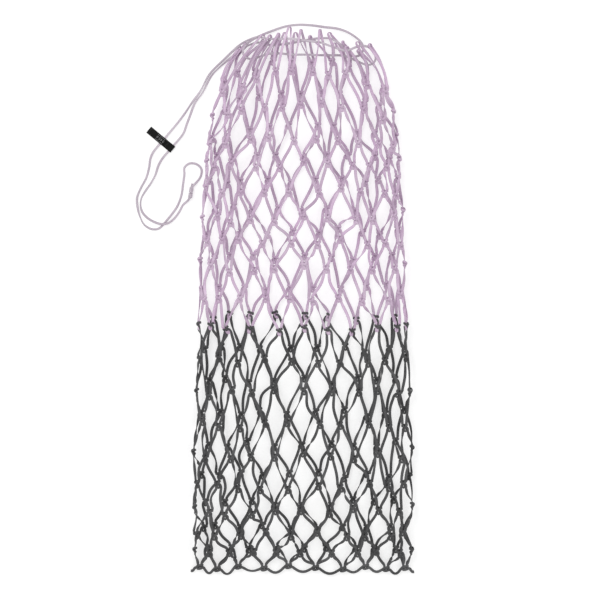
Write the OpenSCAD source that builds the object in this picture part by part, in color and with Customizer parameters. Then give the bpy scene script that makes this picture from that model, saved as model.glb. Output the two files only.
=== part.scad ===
// Hay net lying flat, empty and open at the mouth: a tube of knotted braid worked
// in rounds, a draw cord threaded twice round the mouth, and a folded label that
// slides on the two free ends of the cord. Millimetres. X runs across the net, Y
// towards the mouth and Z up from the surface that the net lies on.

/* [Net] */
// Half the width of the flat net below its shoulders
body_half_w = 162; // [150:1:170]
// How much wider each side of the net is near the bottom
flare = 16; // [0:1:20]
// How much each shoulder draws in at the first ring of knots
shoulder_in = 20; // [0:1:30]
// How far the first ring of knots hangs back at the two sides
shoulder_drop = 45; // [20:1:50]
// Distance from the middle of the net's thickness to each of its two layers
layer_offset = 11; // [10:0.5:14]
// How far the upper layer lies below the lower one, towards the bottom edge
layer_slip = 9; // [0:1:10]
// How far the knots crowd towards the two folds
crowd = 14; // [0:1:14]

/* [Braid] */
// Width of the flat netting braid
braid_w = 4.8; // [3:0.2:5]
// Thickness of the flat netting braid
braid_t = 2; // [1:0.2:2.4]
// Width of a netting knot
knot_w = 10.6; // [9:0.2:11]
// Length of a netting knot
knot_l = 12; // [10:0.5:13]
// Thickness of a netting knot
knot_t = 8.4; // [6:0.2:8.6]

/* [Draw cord] */
// Width of the flat draw cord
cord_w = 3.8; // [3:0.2:4.4]
// Thickness of the flat draw cord
cord_t = 2; // [1.4:0.2:2]
// Length of the knot that ties the two ends of the cord
end_knot_l = 19; // [16:0.5:22]
// Radius of that knot
end_knot_r = 4.2; // [3:0.1:5]

/* [Label] */
// Length of the folded label
label_l = 52; // [50:1:60]
// Width of the label along the cord
label_w = 13; // [8:1:16]
// Thickness of the label's woven band
label_t = 0.8; // [0.4:0.1:0.8]

/* [Hidden] */

lilac = [0.76, 0.67, 0.77];
charcoal = [0.29, 0.29, 0.30];
cord_grey = [0.70, 0.66, 0.70];
label_black = [0.10, 0.10, 0.11];
thread_grey = [0.55, 0.55, 0.56];

// Meshes round the net, so that half of them lie in each layer
meshes = 20;
last_ring = 18;
// Where the mouth loops stand, and how far apart the rings lie, from mouth to bottom
mouth_y = 437;
ring_gaps = [58, 56, 54, 43, 45, 45, 38, 43, 48, 50, 53, 51, 53, 51, 50, 44, 38, 33];
// How far a knot strays along its ring, along the net and out of its layer
stray = [6, 6, 1.3];
// The last ring strays less along the net, as it is laced close to the bottom edge
last_stray = 1.5;
// The net thins towards its mouth and its bottom edge
mouth_offset = 9.5;
bottom_offset = 6.5;
thin_from = 15;
// Rings from the mouth over which the shoulders round in, and over which the flare grows
shoulder_rings = 4;
flare_rings = 9;
// Rings over which the crowding towards the folds grows
crowd_rings = 3;
// The middle of the net across, from its outline
middle_x = 1.5;

// A leg leaves its knot this far to one side, and this far past the knot's edge
slot = 3.3;
knot_clear = 1.9;
// Corner cut of a knot's outline
knot_cut = 3;
// Legs of the mouth loops are bunched, so the braid is folded narrower there
mouth_braid_w = 2.6;
// A mouth loop's two legs pass this far over and under the draw cord
loop_split = 4.2;
loop_w = 5;
// A leg starts this far below the bend
loop_clear = 1.8;

// Levels of the two rounds of draw cord in the mouth
front_level = 25;
back_level = 6;
between_level = 16.4;

// Where the loops of the first course gather, left to right
front_loops = [
    [-66, 432], [-54, 431], [-40, 434], [-22, 444], [-3, 440],
    [28, 440], [52, 418], [72, 412], [90, 420]
];
back_loops = [
    [-94, 421], [-62, 425], [-46, 427], [-30, 438], [-12, 438],
    [12, 433], [44, 438], [66, 424], [92, 410]
];
left_loop = [-104, 415];
right_loop = [110, 418];

function fraction(v) = v - floor(v);
// An even spread of values from -1 to 1 that looks irregular
function scatter(i, k, c) =
    2 * fraction(abs(sin(127.1 * i + 311.7 * k + 74.7 * c)) * 437.585) - 1;
function unit(v) = v / norm(v);
function sum_to(list, n) = n <= 0 ? 0 : list[n - 1] + sum_to(list, n - 1);

function shoulder(k) = max(0, (shoulder_rings + 1 - k) / shoulder_rings);
function half_w(k) =
    body_half_w - shoulder_in * pow(shoulder(k), 1.6)
    + flare * min(1, max(0, k - shoulder_rings - 1) / flare_rings);
function offset_of(k) =
    k == 1 ? mouth_offset
    : k > thin_from
    ? layer_offset + (bottom_offset - layer_offset) * (k - thin_from) / (last_ring - thin_from)
    : layer_offset;
// High enough for the corners of the knots that turn round the folds
function middle_z(k) = norm([offset_of(k) + knot_t / 2 + stray[2], knot_w / 2]);
function straight(k) = half_w(k) - offset_of(k);
function around(k) = 4 * straight(k) + 2 * PI * offset_of(k);

// A ring runs right across the upper layer, round the right fold, left across the
// lower layer and round the left fold. s is the distance along it.
function wrap(s, whole) = s - whole * floor(s / whole);
function turned(k, s) =
    let (a = straight(k), r = offset_of(k), w = wrap(s, around(k)))
    w < a ? 0
    : w < a + PI * r ? (w - a) / r * 180 / PI
    : w < 3 * a + PI * r ? 180
    : w < 3 * a + 2 * PI * r ? 180 + (w - 3 * a - PI * r) / r * 180 / PI
    : 360;
function along(k, s) =
    let (a = straight(k), r = offset_of(k), w = wrap(s, around(k)))
    w < a ? w
    : w < a + PI * r ? a
    : w < 3 * a + PI * r ? 2 * a + PI * r - w
    : w < 3 * a + 2 * PI * r ? -a
    : w - around(k);
// Knots are counted from the middle of the upper layer to the right, and so round
function turn(i) = (i + meshes) % meshes;
// A place along a ring, moved towards the fold nearest to it
function crowded(k, s) =
    s + crowd * min(1, (k - 1) / crowd_rings) * sin(720 * s / around(k));
function knot_s(k, i) =
    crowded(k, (turn(i) + (k % 2 == 0 ? 0 : 0.5)) * around(k) / meshes)
    + stray[0] * scatter(turn(i), k, 1);
function outward(k, s) = [sin(turned(k, s)), 0, cos(turned(k, s))];
function sideways(k, s) = [cos(turned(k, s)), 0, -sin(turned(k, s))];
function ring_y(k) = mouth_y - sum_to(ring_gaps, k);
function knot_at(k, i) =
    let (
        s = knot_s(k, i),
        out = outward(k, s),
        r = offset_of(k) + stray[2] * scatter(turn(i), k, 3),
        x = along(k, s) + r * out[0],
        drop = shoulder_drop * pow(shoulder(k), 1.5) * pow(abs(x) / half_w(k), 2.2),
        slip = layer_slip * min(1, (last_ring + 1 - k) / 4) * out[2]
    )
    [
        x + middle_x,
        ring_y(k) - drop - slip + layer_slip / 2
        + (k < last_ring ? stray[1] : last_stray) * scatter(turn(i), k, 2),
        middle_z(k) + r * out[2]
    ];
// The point of a knot where a leg joins it: side is -1 or 1, end is 1 above and -1 below
function joint_at(k, i, side, end, clear = knot_clear) =
    knot_at(k, i) + side * slot * sideways(k, knot_s(k, i))
    + [0, end * (knot_l / 2 + clear), 0];

// The placing whose X, Y and Z axes are the ones given
function placing(x, y, z, at) = [
    [x[0], y[0], z[0], at[0]],
    [x[1], y[1], z[1], at[1]],
    [x[2], y[2], z[2], at[2]],
    [0, 0, 0, 1]
];

// A straight flat length of braid from one point to another, its broad face along out
module leg(from, to, out, w = braid_w) {
    x = unit(to - from);
    z = unit(out - x * (out * x));
    multmatrix(placing(x, cross(z, x), z, from))
        translate([0, -w / 2, -braid_t / 2])
            cube([norm(to - from), w, braid_t]);
}

module knot(at, side, out, l = knot_l) {
    multmatrix(placing(side, [0, 1, 0], out, at))
        translate([0, 0, -knot_t / 2])
            linear_extrude(knot_t)
                polygon([
                    for (c = [[1, 1], [-1, 1], [-1, -1], [1, -1]])
                        for (first = c[0] * c[1] > 0 ? [true, false] : [false, true])
                            [
                                c[0] * (knot_w / 2 - (first ? 0 : knot_cut)),
                                c[1] * (l / 2 - (first ? knot_cut : 0))
                            ]
                ]);
}

module ring_knots(k) {
    for (i = [0 : meshes - 1])
        knot(knot_at(k, i), sideways(k, knot_s(k, i)), outward(k, knot_s(k, i)));
}

// The two legs that each knot of ring k sends down to ring k + 1
module ring_legs(k) {
    step = k % 2 == 0 ? -1 : 0;
    for (i = [0 : meshes - 1])
        for (side = [-1, 1]) {
            j = i + step + (side + 1) / 2;
            out = outward(k, knot_s(k, i)) + outward(k + 1, knot_s(k + 1, j));
            leg(joint_at(k, i, side, -1), joint_at(k + 1, j, -side, 1), out);
        }
}

// One worked round: its knots, tied round the loops of the round above, and its legs
module course(k, colour) {
    color(colour) {
        ring_knots(k);
        ring_legs(k);
    }
}

// A loop of the first course: a bend over the draw cord and the two legs under it
module mouth_loop(at, level, left, right, out) {
    top = [at[0] + middle_x, at[1], level];
    translate(top - [loop_w / 2, 0, loop_split + braid_t / 2])
        cube([loop_w, braid_t, 2 * loop_split + braid_t]);
    for (leg_end = [[left, 1], [right, -1]])
        leg(
            top + [0, -loop_clear, leg_end[1] * loop_split],
            leg_end[0], out, mouth_braid_w
        );
}

module lilac_course_01() {
    up = [0, 0, 1];
    color(lilac) {
        for (n = [0 : 8]) {
            mouth_loop(
                front_loops[n], front_level,
                joint_at(1, n - 5, 1, 1), joint_at(1, n - 4, -1, 1), up
            );
            mouth_loop(
                back_loops[n], back_level,
                joint_at(1, 14 - n, -1, 1), joint_at(1, 13 - n, 1, 1), up
            );
        }
        mouth_loop(
            left_loop, back_level,
            joint_at(1, -5, -1, 1), joint_at(1, 14, 1, 1), up
        );
        mouth_loop(
            right_loop, between_level,
            joint_at(1, 4, 1, 1), joint_at(1, 5, -1, 1), up
        );
    }
}

// The bottom edge: each lacing knot gathers two loops of the upper layer and two of
// the lower one, and short sagging lengths of braid link it to its neighbours
lacing_y = -440.5;
lacing_z = 6.2;
lacing_knots = 10;
lacing_stray = 3;
lacing_sag = 6;
// Length of a lacing knot, and how far from its middle each layer's legs meet it
lacing_l = 9;
lacing_leg = 3;
// Room past a knot for the links between the knots, and for the steep last legs
link_clear = 2.2;
steep_clear = 2.6;
function lacing_at(n) = [
    middle_x
    + crowded(last_ring, (n + 0.5 - lacing_knots / 2) * around(last_ring) / meshes)
    + lacing_stray * scatter(n, 20, 1),
    lacing_y + lacing_stray * scatter(n, 20, 2),
    lacing_z
];
// Where a leg meets lacing knot n: side is -1 or 1, and layer is 1 above and -1 below
function lacing_joint(n, side, layer) =
    lacing_at(n) + [side * slot, lacing_l / 2 + steep_clear, layer * lacing_leg];

module closing_course() {
    k = last_ring;
    up = [0, 0, 1];
    color(charcoal) {
        ring_knots(k);
        for (n = [0 : lacing_knots - 1])
            for (side = [-1, 1]) {
                upper = n - lacing_knots / 2 + (side + 1) / 2;
                lower = lacing_knots - upper;
                leg(
                    joint_at(k, upper, -side, -1, steep_clear),
                    lacing_joint(n, side, 1), up
                );
                leg(
                    joint_at(k, lower, side, -1, steep_clear),
                    lacing_joint(n, side, -1), up
                );
            }
    }
}

module bottom_lacing() {
    up = [0, 0, 1];
    color(charcoal) {
        for (n = [0 : lacing_knots - 1])
            knot(lacing_at(n), [1, 0, 0], up, lacing_l);
        for (n = [0 : lacing_knots - 2]) {
            from = lacing_at(n) + [knot_w / 2 + link_clear, 0, 0];
            to = lacing_at(n + 1) - [knot_w / 2 + link_clear, 0, 0];
            low = (from + to) / 2 - [0, lacing_sag, 0];
            leg(from, low - [link_clear, 0, 0], up);
            leg(low + [link_clear, 0, 0], to, up);
        }
    }
}

// A flat cord swept along its route as one polyhedron, broad side level
cord_sides = 8;
function cord_ring(at, way) =
    let (flat = unit(cross([0, 0, 1], way)), rise = cross(way, flat))
    [
        for (n = [0 : cord_sides - 1])
            let (a = 360 * (n + 0.5) / cord_sides)
            at + cos(a) / cos(180 / cord_sides) * cord_w / 2 * flat
            + sin(a) / cos(180 / cord_sides) * cord_t / 2 * rise
    ];
function way_at(line, n) =
    unit(line[min(n + 1, len(line) - 1)] - line[max(n - 1, 0)]);
// Points of a smooth curve through a route, with steps of them to each stretch
function smooth(route, steps) = [
    for (n = [0 : len(route) - 2])
        for (m = [0 : steps - 1])
            let (
                a = route[max(n - 1, 0)], b = route[n], c = route[n + 1],
                d = route[min(n + 2, len(route) - 1)], t = m / steps
            )
            0.5 * (
                2 * b + (c - a) * t + (2 * a - 5 * b + 4 * c - d) * t * t
                + (3 * b - a - 3 * c + d) * t * t * t
            ),
    route[len(route) - 1]
];
module cord(route, steps) {
    line = smooth(route, steps);
    last = len(line) - 1;
    points = [for (n = [0 : last]) each cord_ring(line[n], way_at(line, n))];
    sides = [
        for (n = [0 : last - 1])
            for (m = [0 : cord_sides - 1])
                let (
                    a = n * cord_sides + m,
                    b = n * cord_sides + (m + 1) % cord_sides
                )
                each [[a, b + cord_sides, b], [a, a + cord_sides, b + cord_sides]]
    ];
    ends = [
        [for (m = [0 : cord_sides - 1]) m],
        [for (m = [cord_sides - 1 : -1 : 0]) last * cord_sides + m]
    ];
    color(cord_grey)
        polyhedron(points, concat(sides, ends));
}

// Routes of the draw cord
first_round = [
    [-72, 430, 25], [-56, 427, 25], [-38, 427, 25], [-18, 427, 25], [6, 424, 25],
    [30, 421, 25], [50, 414, 25], [72, 408, 25], [90, 414, 25], [100, 416, 22],
    [110, 414, 17], [118, 406, 14], [121, 397, 13], [117, 389, 13], [107, 386, 13],
    [96, 390, 13], [82, 396, 13], [68, 401, 13], [52, 402, 13], [32, 402, 13],
    [8, 403, 13], [-16, 403, 13], [-38, 405, 13], [-56, 404, 13], [-74, 398, 13],
    [-86, 396, 13], [-95, 401, 13], [-97, 410, 13], [-92, 419, 13], [-82, 427, 12],
    [-66, 436, 8], [-48, 444, 3], [-28, 451, 1.2], [-6, 454, 1.2], [16, 453, 1.2],
    [38, 450, 1.6], [58, 447, 5], [74, 441, 9], [88, 432, 11]
];
second_round = [
    [88, 432, 11], [97, 424, 10], [101, 414, 8], [96, 404, 6], [86, 401, 6],
    [77, 406, 6], [70, 414, 6], [62, 422, 6], [48, 430, 6], [30, 431, 6],
    [8, 428, 6], [-18, 423, 6], [-42, 420, 6], [-60, 421, 6], [-72, 424, 6]
];
left_end = [
    [-72, 430, 25], [-84, 427, 22], [-98, 421, 17], [-112, 411, 9], [-128, 397, 2.4],
    [-152, 373, 1.2], [-168, 344, 1.2], [-181, 326, 1.2], [-193, 308, 1.4],
    [-205, 292, 2.4], [-225, 268, 2.4], [-245, 244, 2.4], [-250, 233, 1.6],
    [-252, 219, 1.2], [-257, 201, 1.2], [-266, 184, 1.2], [-272, 168, 1.2],
    [-271, 152, 1.2], [-267, 137, 1.2], [-260, 124, 1.2], [-248, 117, 1.2],
    [-236, 118, 1.2], [-225, 129, 1.2], [-206, 154, 1.2], [-199, 172, 1.2],
    [-196, 192, 1.2], [-194, 208, 1.2], [-194, 218, 1.2], [-186, 225, 1.2],
    [-174, 224, 1.2], [-166, 216, 1.2], [-167, 204, 1.2], [-173, 195, 2.4],
    [-180, 187, 4.4], [-181.6, 183, 4.4]
];
right_end = [
    [-72, 424, 6], [-84, 421, 6], [-96, 415, 6], [-109, 405, 5.6], [-125, 393, 3.8],
    [-149, 370, 1.2], [-164, 342, 1.2], [-177, 324, 1.2], [-184, 306, 1.2],
    [-190, 290, 1.4], [-196, 274, 2.4], [-216, 250, 2.4], [-231, 232, 2.4],
    [-237, 221, 1.6], [-242, 206, 1.2], [-249, 193, 1.2], [-258, 180, 1.2],
    [-265, 167, 1.2], [-266, 154, 1.2], [-262, 143, 1.4], [-253, 134, 2],
    [-242, 128, 3.2], [-231, 125, 3.8], [-220, 127, 3.4], [-210, 135, 2.2],
    [-202, 146, 1.2], [-196, 157, 1.4], [-189, 163, 3], [-185, 168, 4.4],
    [-184.2, 171, 4.4]
];

// The knot lies on the surface, a little off the Y direction
end_knot_at = [-183, 177, 0.1];
end_knot_turn = -9;

module draw_cord_knot() {
    color(cord_grey)
        translate(end_knot_at + [0, 0, end_knot_r])
            rotate([-90, 0, end_knot_turn])
                rotate_extrude($fn = 48)
                    polygon([
                        [0, -end_knot_l / 2], [0.6 * end_knot_r, -end_knot_l / 2],
                        [end_knot_r, -end_knot_l / 4], [end_knot_r, end_knot_l / 4],
                        [0.6 * end_knot_r, end_knot_l / 2], [0, end_knot_l / 2]
                    ]);
}

// The label lies square across the two free ends where they run straight
label_at = [-233, 264.6];
cord_way = [-5, -6];
// Where the two ends pass, measured along the label from its middle
pass = [4, 22.4];
// Free height under the label, between its two layers, and round the cord
label_lift = 0.3;
layer_gap = 0.2;
cord_clear = 0.4;
// Length over which the upper layer climbs from the lower one over the cord, and
// what the band's thickness adds to it on the outside
climb = 2;
climb_out = 0.4;
// Height of the cord's middle where the label holds it
held_z = 2.4;
stitch = [0.5, 1.5, 0.4];
seams = [-23, -3.4, 13.2];
stitches = 5;

module on_label() {
    translate([label_at[0], label_at[1], 0])
        rotate([0, 0, atan2(cord_way[1], cord_way[0]) + 90])
            children();
}

// One strip, folded at the end beyond the cord and lying back on itself
module label_band() {
    base = label_lift + label_t;
    low = base + layer_gap;
    high = held_z + cord_t / 2 + cord_clear;
    half = cord_w / 2 + cord_clear;
    end = label_l / 2;
    color(label_black)
        on_label()
            rotate([90, 0, 0])
                linear_extrude(label_w, center = true)
                    polygon([
                        [-end, label_lift], [end, label_lift],
                        [end, high + label_t], [pass[1] - half - climb_out, high + label_t],
                        [pass[1] - half - climb - climb_out, low + label_t],
                        [pass[0] + half + climb + climb_out, low + label_t],
                        [pass[0] + half + climb_out, high + label_t],
                        [pass[0] - half - climb_out, high + label_t],
                        [pass[0] - half - climb - climb_out, low + label_t],
                        [-end, low + label_t], [-end, low],
                        [pass[0] - half - climb, low], [pass[0] - half, high],
                        [pass[0] + half, high], [pass[0] + half + climb, low],
                        [pass[1] - half - climb, low], [pass[1] - half, high],
                        [end - label_t, high], [end - label_t, base],
                        [-end, base]
                    ]);
}

module label_stitching() {
    top = label_lift + 2 * label_t + layer_gap;
    gap = label_w / stitches;
    color(thread_grey)
        on_label()
            for (u = seams)
                for (n = [0 : stitches - 1])
                    translate([u - stitch[0] / 2, (n + 0.5) * gap - (label_w + stitch[1]) / 2, top])
                        cube(stitch);
}

lilac_course_01();
course(1, lilac);  // lilac_course_02
course(2, lilac);  // lilac_course_03
course(3, lilac);  // lilac_course_04
course(4, lilac);  // lilac_course_05
course(5, lilac);  // lilac_course_06
course(6, lilac);  // lilac_course_07
course(7, lilac);  // lilac_course_08
course(8, lilac);  // lilac_course_09
course(9, lilac);  // lilac_course_10
course(10, charcoal);  // charcoal_course_01
course(11, charcoal);  // charcoal_course_02
course(12, charcoal);  // charcoal_course_03
course(13, charcoal);  // charcoal_course_04
course(14, charcoal);  // charcoal_course_05
course(15, charcoal);  // charcoal_course_06
course(16, charcoal);  // charcoal_course_07
course(17, charcoal);  // charcoal_course_08
closing_course();
bottom_lacing();
cord(first_round, 2);  // draw_cord_first_round
cord(second_round, 2);  // draw_cord_second_round
cord(left_end, 1);  // draw_cord_left_end
cord(right_end, 1);  // draw_cord_right_end
draw_cord_knot();
label_band();
label_stitching();
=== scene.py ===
"""The looks of the hay net: braided twine knotted in rounds, a flat draw cord and a folded label.

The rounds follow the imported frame: a round's knots and bars are read from its CAD node, and one
continuous length of braid is swept through them. The draw cord repeats the part's own route.
Lengths are in metres, or in millimetres where a list says so. +Y is towards the mouth.
"""

import math
import random
from collections import namedtuple

import bpy
import numpy as np
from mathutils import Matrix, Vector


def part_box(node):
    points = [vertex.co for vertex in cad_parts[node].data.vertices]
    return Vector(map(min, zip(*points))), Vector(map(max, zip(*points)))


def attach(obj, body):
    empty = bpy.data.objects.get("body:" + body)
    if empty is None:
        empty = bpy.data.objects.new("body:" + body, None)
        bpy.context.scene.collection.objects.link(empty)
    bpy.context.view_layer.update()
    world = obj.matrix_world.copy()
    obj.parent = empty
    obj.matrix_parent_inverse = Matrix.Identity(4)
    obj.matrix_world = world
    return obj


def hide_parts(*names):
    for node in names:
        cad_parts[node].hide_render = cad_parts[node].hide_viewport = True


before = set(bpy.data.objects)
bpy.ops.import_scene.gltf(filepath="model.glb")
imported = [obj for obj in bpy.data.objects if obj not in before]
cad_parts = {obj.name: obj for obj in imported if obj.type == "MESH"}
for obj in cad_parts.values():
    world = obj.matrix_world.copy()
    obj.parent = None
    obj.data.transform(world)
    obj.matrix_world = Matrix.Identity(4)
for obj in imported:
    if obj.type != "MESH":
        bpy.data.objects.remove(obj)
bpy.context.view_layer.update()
MM = 0.001
RIGHT = np.array([1.0, 0.0, 0.0])
UP = np.array([0.0, 1.0, 0.0])
SKYWARD = np.array([0.0, 0.0, 1.0])

# ---------------------------------------------------------------- camera

# Width of the floor that the picture shows, and the place at its middle
PICTURE_W = 0.990
PICTURE_MIDDLE = (-0.0033, 0.0)
LENS, SENSOR = 100.0, 36.0


def make_camera():
    """A long lens straight above the net, with the mouth at the top of the picture."""
    data = bpy.data.cameras.new("camera")
    data.lens, data.sensor_width = LENS, SENSOR
    data.clip_end = 20.0
    camera = bpy.data.objects.new("camera", data)
    camera.location = (*PICTURE_MIDDLE, PICTURE_W * LENS / SENSOR)
    bpy.context.collection.objects.link(camera)
    bpy.context.scene.camera = camera


make_camera()

# ---------------------------------------------------------------- small mathematics


def unit(v):
    v = np.asarray(v, float)
    return v / np.maximum(np.linalg.norm(v, axis=-1, keepdims=True), 1e-12)


def smooth(points, spacing, closed=False):
    """Rows at most a spacing apart on a smooth curve through rows that start with a place."""
    stops = np.asarray(points, float)
    if closed:
        stops = np.concatenate([stops[-1:], stops, stops[:2]])
    gaps = np.sqrt(np.linalg.norm(np.diff(stops[:, :3], axis=0), axis=1))[:, None]
    slopes = np.diff(stops, axis=0) / gaps
    inner = (slopes[:-1] * gaps[1:] + slopes[1:] * gaps[:-1]) / (gaps[:-1] + gaps[1:])
    tangents = np.concatenate([slopes[:1], inner, slopes[-1:]])
    if closed:
        stops, tangents, gaps = stops[1:-1], tangents[1:-1], gaps[1:-1]
    steps = np.maximum(1, np.ceil(gaps[:, 0] ** 2 / spacing)).astype(int)
    rows = []
    for n, count in enumerate(steps):
        t = (np.arange(count) / count)[:, None]
        gap = gaps[n, 0]
        rows.append(
            (2 * t**3 - 3 * t**2 + 1) * stops[n]
            + (t**3 - 2 * t**2 + t) * gap * tangents[n]
            + (3 * t**2 - 2 * t**3) * stops[n + 1]
            + (t**3 - t**2) * gap * tangents[n + 1]
        )
    out = np.concatenate(rows)
    return out if closed else np.concatenate([out, stops[-1:]])


def turned_about(v, axis, angle):
    """The vector v turned about a unit axis."""
    along = axis * (v @ axis)
    return along + (v - along) * math.cos(angle) + np.cross(axis, v) * math.sin(angle)


# ---------------------------------------------------------------- materials


def colour(red, green, blue):
    """A colour as the shader takes it, from shares of full sRGB red, green and blue."""
    return tuple(((c + 0.055) / 1.055) ** 2.4 for c in (red, green, blue)) + (1.0,)


class Shader:
    """A node material under way, with short calls for the nodes that it needs."""

    def __init__(self, name, roughness, sheen, specular=0.35):
        self.material = bpy.data.materials.new(name)
        self.material.use_nodes = True
        self.tree = self.material.node_tree
        self.surface = self.tree.nodes["Principled BSDF"]
        self.surface.inputs["Sheen Weight"].default_value = sheen
        self.surface.inputs["Sheen Roughness"].default_value = 0.45
        self.surface.inputs["Specular IOR Level"].default_value = specular
        self.surface.inputs["Roughness"].default_value = roughness

    def node(self, kind, inputs=(), **settings):
        made = self.tree.nodes.new(kind)
        for key, value in settings.items():
            setattr(made, key, value)
        for key, value in dict(inputs).items():
            if isinstance(value, bpy.types.NodeSocket):
                self.tree.links.new(value, made.inputs[key])
            else:
                made.inputs[key].default_value = value
        return made

    def maths(self, operation, a, b=0.0, clamp=False):
        made = self.node("ShaderNodeMath", {0: a, 1: b}, operation=operation, use_clamp=clamp)
        return made.outputs[0]

    def mix(self, share, a, b, blend="MIX"):
        made = self.node("ShaderNodeMix", {0: share, 6: a, 7: b}, data_type="RGBA", blend_type=blend)
        return made.outputs[2]

    def noise(self, vector, scale, detail=2.0):
        inputs = {"Vector": vector, "Scale": scale, "Detail": detail}
        return self.node("ShaderNodeTexNoise", inputs).outputs["Fac"]

    def range(self, value, low, high, to_low, to_high):
        inputs = {0: value, 1: low, 2: high, 3: to_low, 4: to_high}
        return self.node("ShaderNodeMapRange", inputs).outputs[0]

    def lengthwise(self):
        """Sockets for the distance along the strip and the place round or across it."""
        uv = self.node("ShaderNodeUVMap", uv_map="Lay").outputs[0]
        apart = self.node("ShaderNodeSeparateXYZ", {0: uv})
        return uv, apart.outputs[0], apart.outputs[1]

    def place(self):
        return self.node("ShaderNodeTexCoord").outputs["Object"]

    def stretched(self, vector, x, y):
        return self.node("ShaderNodeMapping", {"Vector": vector, "Scale": (x, y, 1.0)}).outputs[0]

    def finish(self, base, roughness, height, strength, depth):
        bump = {"Height": height, "Strength": strength, "Distance": depth}
        normal = self.node("ShaderNodeBump", bump).outputs[0]
        for key, socket in (("Base Color", base), ("Roughness", roughness), ("Normal", normal)):
            self.tree.links.new(socket, self.surface.inputs[key])
        return self.material


# Length of one crossing of the plait, crossings round the braid and filaments in a strand
PLAIT = 2.6 * MM
PLAITS_ROUND = 8.0
FILAMENTS = 7.0
FIBRE_L, FIBRES_ROUND = 1.6 * MM, 34.0
PLAIT_DEPTH = 0.35 * MM
# Faded patches and small flecks to the metre
PATCHES, FLECKS = 24.0, 420.0


def braid_material(name, lit_tone, shade_tone, worn, sheen):
    """Plaited strands of fine filament, with painted shade between them and on the strands that run one
    way, and faded in patches.
    """
    kit = Shader(name, 0.6, sheen)
    uv, along, around = kit.lengthwise()
    turns = kit.maths("DIVIDE", along, PLAIT / math.pi)
    spread = kit.maths("MULTIPLY", around, PLAITS_ROUND * math.pi)
    rising, falling = kit.maths("ADD", turns, spread), kit.maths("SUBTRACT", turns, spread)
    crossing = kit.maths("MULTIPLY", kit.maths("SINE", rising), kit.maths("SINE", falling))
    ridge = kit.maths("POWER", kit.maths("ABSOLUTE", crossing), 0.45)
    over = kit.maths("GREATER_THAN", crossing, 0.0)
    strands = [kit.maths("SINE", kit.maths("MULTIPLY", way, FILAMENTS)) for way in (falling, rising)]
    hidden = kit.maths("MULTIPLY", kit.maths("SUBTRACT", 1.0, over), strands[1])
    filament = kit.maths("ADD", kit.maths("MULTIPLY", over, strands[0]), hidden)
    fibre = kit.noise(kit.stretched(uv, 1.0 / FIBRE_L, FIBRES_ROUND), 1.0, 3.0)
    patch = kit.noise(kit.place(), PATCHES, 3.0)
    fleck = kit.noise(kit.place(), FLECKS, 2.0)
    # Lit tone on the tops of the crossings, painted shade in the grooves between strands
    body = kit.mix(kit.range(ridge, 0.0, 0.75, 0.2, 1.0), shade_tone, lit_tone)
    # Painted shade on the strands that run one way
    body = kit.mix(kit.maths("MULTIPLY", over, 0.14), body, shade_tone)
    # Painted shade in the grooves between filaments
    body = kit.mix(kit.range(filament, 0.0, 1.0, 0.0, 0.22), body, shade_tone)
    # Darker fibres at random, in the tone of the painted shade
    body = kit.mix(kit.range(fibre, 0.35, 0.75, 0.0, 0.5), body, shade_tone)
    body = kit.mix(kit.range(patch, 0.42, 0.72, 0.0, 0.55), body, worn)
    body = kit.mix(kit.range(fleck, 0.6, 0.8, 0.0, 0.3), body, worn)
    tone = kit.node("ShaderNodeAttribute", attribute_name="tone").outputs["Fac"]
    tint = kit.node("ShaderNodeCombineXYZ", {0: tone, 1: tone, 2: tone}).outputs[0]
    body = kit.mix(1.0, body, tint, "MULTIPLY")
    rough = kit.range(fibre, 0.3, 0.7, 0.5, 0.78)
    fine = kit.maths("ADD", kit.maths("MULTIPLY", fibre, 0.3), kit.maths("MULTIPLY", filament, -0.12))
    return kit.finish(body, rough, kit.maths("ADD", ridge, fine), 0.6, PLAIT_DEPTH)


# Pitch of the band's threads, and how deep its weave is
THREAD, WEAVE_DEPTH = 0.42 * MM, 0.12 * MM
# The woven motif: where it lies along the band, and its diamonds and stripes
MOTIF = {"middle": 83.5 * MM, "half": 8.3 * MM, "pitch": 4.6 * MM, "height": 3.4 * MM}
DIAMOND_OUTER, DIAMOND_INNER = 0.36, 0.16
STRIPE_AT, STRIPE_HALF = 4.3 * MM, 0.25 * MM


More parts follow.
